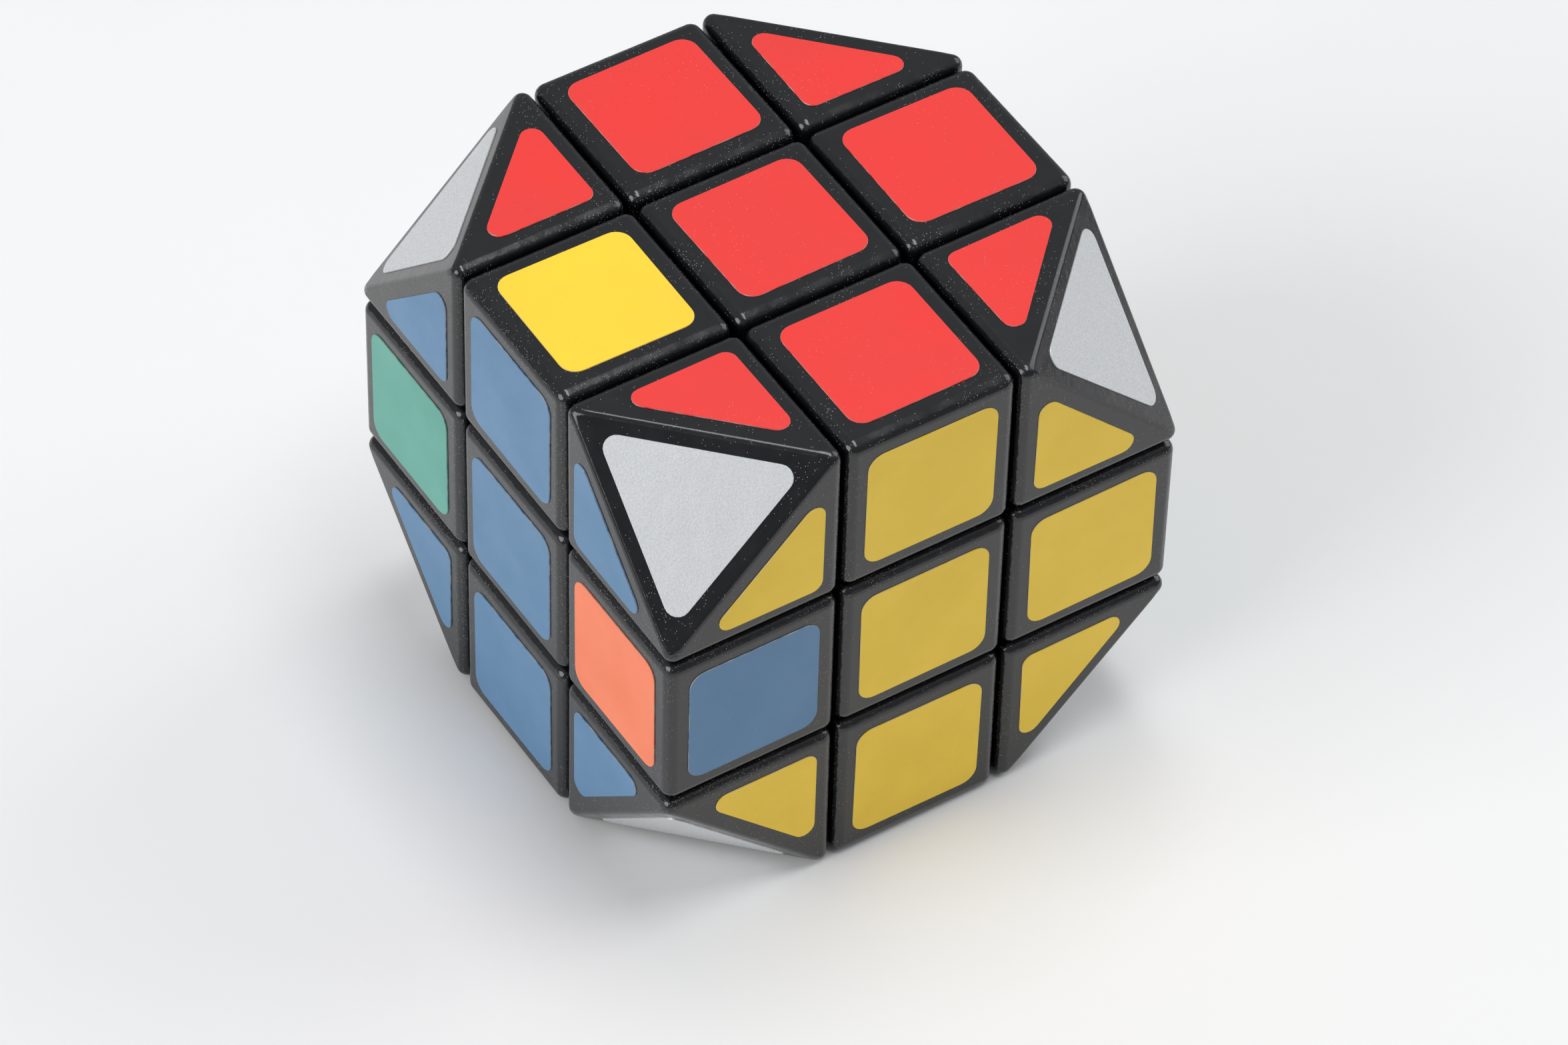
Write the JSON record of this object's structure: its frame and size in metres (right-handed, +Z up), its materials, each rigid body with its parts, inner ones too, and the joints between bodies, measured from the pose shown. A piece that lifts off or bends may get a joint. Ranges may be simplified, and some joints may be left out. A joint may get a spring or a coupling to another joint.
{
  "type": "dodecahedron twisty puzzle",
  "caption": "Layer puzzle shaped as a cube with its corners cut off flat; each face turns on a spring-loaded core, and the black pieces carry coloured stickers.",
  "frame": {"origin": "centre of the core, where the six turning axes meet", "axes": "+Z up through the red face, -X through the blue face, -Y through the yellow face; the object rests on its -Z face"},
  "size_m": [0.057, 0.057, 0.057],
  "materials": {
    "black_plastic": "semi-gloss moulded black plastic, fine dust in the grooves",
    "core_nylon": "natural off-white nylon",
    "screw_steel": "bright zinc plated steel",
    "spring_steel": "drawn spring wire",
    "sticker_red": "satin vinyl sticker",
    "sticker_yellow": "satin vinyl sticker",
    "sticker_blue": "satin vinyl sticker",
    "sticker_green": "satin vinyl sticker",
    "sticker_orange": "satin vinyl sticker",
    "sticker_white": "satin vinyl sticker",
    "sticker_silver": "fine-grained metallised foil sticker"
  },
  "bodies": {
    "core": {"core_spider": "core_nylon", "screw_u": "screw_steel", "washer_u": "screw_steel", "spring_u": "spring_steel", "screw_d": "screw_steel", "washer_d": "screw_steel", "spring_d": "spring_steel", "screw_l": "screw_steel", "washer_l": "screw_steel", "spring_l": "spring_steel", "screw_r": "screw_steel", "washer_r": "screw_steel", "spring_r": "spring_steel", "screw_f": "screw_steel", "washer_f": "screw_steel", "spring_f": "spring_steel", "screw_b": "screw_steel", "washer_b": "screw_steel", "spring_b": "spring_steel"},
    "centre_u": {"centre_u": "black_plastic", "centre_lid_u": "black_plastic"},
    "centre_d": {"centre_d": "black_plastic", "centre_lid_d": "black_plastic"},
    "centre_l": {"centre_l": "black_plastic", "centre_lid_l": "black_plastic"},
    "centre_r": {"centre_r": "black_plastic", "centre_lid_r": "black_plastic"},
    "centre_f": {"centre_f": "black_plastic", "centre_lid_f": "black_plastic"},
    "centre_b": {"centre_b": "black_plastic", "centre_lid_b": "black_plastic"},
    "edge_ul": {"edge_ul": "black_plastic"},
    "edge_ur": {"edge_ur": "black_plastic"},
    "edge_uf": {"edge_uf": "black_plastic"},
    "edge_ub": {"edge_ub": "black_plastic"},
    "edge_ld": {"edge_ld": "black_plastic"},
    "edge_rd": {"edge_rd": "black_plastic"},
    "edge_fd": {"edge_fd": "black_plastic"},
    "edge_bd": {"edge_bd": "black_plastic"},
    "edge_lf": {"edge_lf": "black_plastic"},
    "edge_bl": {"edge_bl": "black_plastic"},
    "edge_fr": {"edge_fr": "black_plastic"},
    "edge_rb": {"edge_rb": "black_plastic"},
    "corner_ulf": {"corner_shell_ulf": "black_plastic", "corner_foot_ulf": "black_plastic"},
    "corner_ulb": {"corner_shell_ulb": "black_plastic", "corner_foot_ulb": "black_plastic"},
    "corner_urf": {"corner_shell_urf": "black_plastic", "corner_foot_urf": "black_plastic"},
    "corner_urb": {"corner_shell_urb": "black_plastic", "corner_foot_urb": "black_plastic"},
    "corner_ldf": {"corner_shell_ldf": "black_plastic", "corner_foot_ldf": "black_plastic"},
    "corner_ldb": {"corner_shell_ldb": "black_plastic", "corner_foot_ldb": "black_plastic"},
    "corner_rdf": {"corner_shell_rdf": "black_plastic", "corner_foot_rdf": "black_plastic"},
    "corner_rdb": {"corner_shell_rdb": "black_plastic", "corner_foot_rdb": "black_plastic"}
  },
  "joints": [
    {"name": "turn_top", "type": "hinge", "parent": "core", "child": "centre_u", "pos_m": [0, 0, 0], "axis": [0, 0, 1], "continuous": true},
    {"name": "turn_bottom", "type": "hinge", "parent": "core", "child": "centre_d", "pos_m": [0, 0, 0], "axis": [0, 0, -1], "continuous": true},
    {"name": "turn_left", "type": "hinge", "parent": "core", "child": "centre_l", "pos_m": [0, 0, 0], "axis": [-1, 0, 0], "continuous": true},
    {"name": "turn_right", "type": "hinge", "parent": "core", "child": "centre_r", "pos_m": [0, 0, 0], "axis": [1, 0, 0], "continuous": true},
    {"name": "turn_front", "type": "hinge", "parent": "core", "child": "centre_f", "pos_m": [0, 0, 0], "axis": [0, -1, 0], "continuous": true},
    {"name": "turn_back", "type": "hinge", "parent": "core", "child": "centre_b", "pos_m": [0, 0, 0], "axis": [0, 1, 0], "continuous": true},
    {"name": "edge_ul_with_left", "type": "hinge", "parent": "centre_u", "child": "edge_ul", "pos_m": [0, 0, 0], "axis": [-1, 0, 0], "continuous": true},
    {"name": "edge_ur_with_right", "type": "hinge", "parent": "centre_u", "child": "edge_ur", "pos_m": [0, 0, 0], "axis": [1, 0, 0], "continuous": true},
    {"name": "edge_uf_with_front", "type": "hinge", "parent": "centre_u", "child": "edge_uf", "pos_m": [0, 0, 0], "axis": [0, -1, 0], "continuous": true},
    {"name": "edge_ub_with_back", "type": "hinge", "parent": "centre_u", "child": "edge_ub", "pos_m": [0, 0, 0], "axis": [0, 1, 0], "continuous": true},
    {"name": "edge_ld_with_bottom", "type": "hinge", "parent": "centre_l", "child": "edge_ld", "pos_m": [0, 0, 0], "axis": [0, 0, -1], "continuous": true},
    {"name": "edge_rd_with_bottom", "type": "hinge", "parent": "centre_r", "child": "edge_rd", "pos_m": [0, 0, 0], "axis": [0, 0, -1], "continuous": true},
    {"name": "edge_fd_with_bottom", "type": "hinge", "parent": "centre_f", "child": "edge_fd", "pos_m": [0, 0, 0], "axis": [0, 0, -1], "continuous": true},
    {"name": "edge_bd_with_bottom", "type": "hinge", "parent": "centre_b", "child": "edge_bd", "pos_m": [0, 0, 0], "axis": [0, 0, -1], "continuous": true},
    {"name": "edge_lf_with_front", "type": "hinge", "parent": "centre_l", "child": "edge_lf", "pos_m": [0, 0, 0], "axis": [0, -1, 0], "continuous": true},
    {"name": "edge_bl_with_left", "type": "hinge", "parent": "centre_b", "child": "edge_bl", "pos_m": [0, 0, 0], "axis": [-1, 0, 0], "continuous": true},
    {"name": "edge_fr_with_right", "type": "hinge", "parent": "centre_f", "child": "edge_fr", "pos_m": [0, 0, 0], "axis": [1, 0, 0], "continuous": true},
    {"name": "edge_rb_with_back", "type": "hinge", "parent": "centre_r", "child": "edge_rb", "pos_m": [0, 0, 0], "axis": [0, 1, 0], "continuous": true},
    {"name": "corner_ulf_with_front", "type": "hinge", "parent": "edge_ul", "child": "corner_ulf", "pos_m": [0, 0, 0], "axis": [0, -1, 0], "continuous": true},
    {"name": "corner_ulb_with_back", "type": "hinge", "parent": "edge_ul", "child": "corner_ulb", "pos_m": [0, 0, 0], "axis": [0, 1, 0], "continuous": true},
    {"name": "corner_urf_with_front", "type": "hinge", "parent": "edge_ur", "child": "corner_urf", "pos_m": [0, 0, 0], "axis": [0, -1, 0], "continuous": true},
    {"name": "corner_urb_with_back", "type": "hinge", "parent": "edge_ur", "child": "corner_urb", "pos_m": [0, 0, 0], "axis": [0, 1, 0], "continuous": true},
    {"name": "corner_ldf_with_front", "type": "hinge", "parent": "edge_ld", "child": "corner_ldf", "pos_m": [0, 0, 0], "axis": [0, -1, 0], "continuous": true},
    {"name": "corner_ldb_with_back", "type": "hinge", "parent": "edge_ld", "child": "corner_ldb", "pos_m": [0, 0, 0], "axis": [0, 1, 0], "continuous": true},
    {"name": "corner_rdf_with_front", "type": "hinge", "parent": "edge_rd", "child": "corner_rdf", "pos_m": [0, 0, 0], "axis": [0, -1, 0], "continuous": true},
    {"name": "corner_rdb_with_back", "type": "hinge", "parent": "edge_rd", "child": "corner_rdb", "pos_m": [0, 0, 0], "axis": [0, 1, 0], "continuous": true}
  ],
  "couplings": [
    {"joint": "edge_ul_with_left", "follows": "turn_left", "ratio": 1},
    {"joint": "edge_ur_with_right", "follows": "turn_right", "ratio": 1},
    {"joint": "edge_uf_with_front", "follows": "turn_front", "ratio": 1},
    {"joint": "edge_ub_with_back", "follows": "turn_back", "ratio": 1},
    {"joint": "edge_ld_with_bottom", "follows": "turn_bottom", "ratio": 1},
    {"joint": "edge_rd_with_bottom", "follows": "turn_bottom", "ratio": 1},
    {"joint": "edge_fd_with_bottom", "follows": "turn_bottom", "ratio": 1},
    {"joint": "edge_bd_with_bottom", "follows": "turn_bottom", "ratio": 1},
    {"joint": "edge_lf_with_front", "follows": "turn_front", "ratio": 1},
    {"joint": "edge_bl_with_left", "follows": "turn_left", "ratio": 1},
    {"joint": "edge_fr_with_right", "follows": "turn_right", "ratio": 1},
    {"joint": "edge_rb_with_back", "follows": "turn_back", "ratio": 1},
    {"joint": "corner_ulf_with_front", "follows": "turn_front", "ratio": 1},
    {"joint": "corner_ulb_with_back", "follows": "turn_back", "ratio": 1},
    {"joint": "corner_urf_with_front", "follows": "turn_front", "ratio": 1},
    {"joint": "corner_urb_with_back", "follows": "turn_back", "ratio": 1},
    {"joint": "corner_ldf_with_front", "follows": "turn_front", "ratio": 1},
    {"joint": "corner_ldb_with_back", "follows": "turn_back", "ratio": 1},
    {"joint": "corner_rdf_with_front", "follows": "turn_front", "ratio": 1},
    {"joint": "corner_rdb_with_back", "follows": "turn_back", "ratio": 1}
  ]
}
